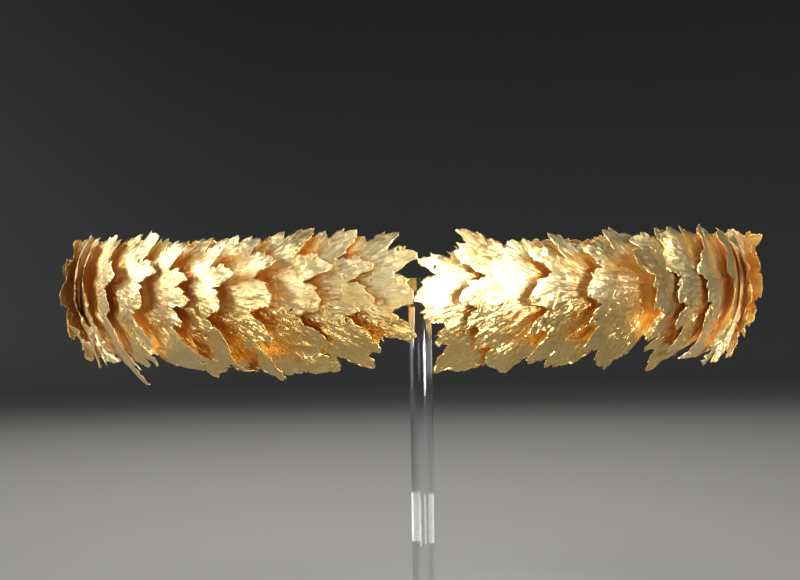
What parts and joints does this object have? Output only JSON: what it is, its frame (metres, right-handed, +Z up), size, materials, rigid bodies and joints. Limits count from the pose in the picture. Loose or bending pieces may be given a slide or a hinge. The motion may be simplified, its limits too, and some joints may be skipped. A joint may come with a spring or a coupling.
{
  "type": "gold oak leaf wreath on a clear display stand",
  "caption": "Round head wreath of overlapping jagged oak leaves in sheet gold, in two branches whose tips meet at the front, on a clear round plate, rod and base.",
  "frame": {"origin": "middle of the underside of the stand's base, under the rod", "axes": "+Z up, the meeting point of the two branches faces -Y, the right-hand branch as seen from the front is +X"},
  "size_m": [0.2004, 0.1885, 0.1261],
  "materials": {
    "gold_sheet": "satin, crinkled leaf gold",
    "gold_strip": "plain satin gold",
    "clear_acrylic": "polished clear plastic"
  },
  "bodies": {
    "root": {"stand_base": "clear_acrylic", "stand_rod": "clear_acrylic", "stand_plate": "clear_acrylic", "left_strip": "gold_strip", "right_strip": "gold_strip", "leaf_left_01": "gold_sheet", "leaf_left_02": "gold_sheet", "leaf_left_03": "gold_sheet", "leaf_left_04": "gold_sheet", "leaf_left_05": "gold_sheet", "leaf_left_06": "gold_sheet", "leaf_left_07": "gold_sheet", "leaf_left_08": "gold_sheet", "leaf_left_09": "gold_sheet", "leaf_left_10": "gold_sheet", "leaf_left_11": "gold_sheet", "leaf_left_12": "gold_sheet", "leaf_left_13": "gold_sheet", "leaf_left_14": "gold_sheet", "leaf_left_15": "gold_sheet", "leaf_left_16": "gold_sheet", "leaf_left_17": "gold_sheet", "leaf_left_18": "gold_sheet", "leaf_left_19": "gold_sheet", "leaf_left_20": "gold_sheet", "leaf_right_01": "gold_sheet", "leaf_right_02": "gold_sheet", "leaf_right_03": "gold_sheet", "leaf_right_04": "gold_sheet", "leaf_right_05": "gold_sheet", "leaf_right_06": "gold_sheet", "leaf_right_07": "gold_sheet", "leaf_right_08": "gold_sheet", "leaf_right_09": "gold_sheet", "leaf_right_10": "gold_sheet", "leaf_right_11": "gold_sheet", "leaf_right_12": "gold_sheet", "leaf_right_13": "gold_sheet", "leaf_right_14": "gold_sheet", "leaf_right_15": "gold_sheet", "leaf_right_16": "gold_sheet", "leaf_right_17": "gold_sheet", "leaf_right_18": "gold_sheet"}
  },
  "joints": []
}
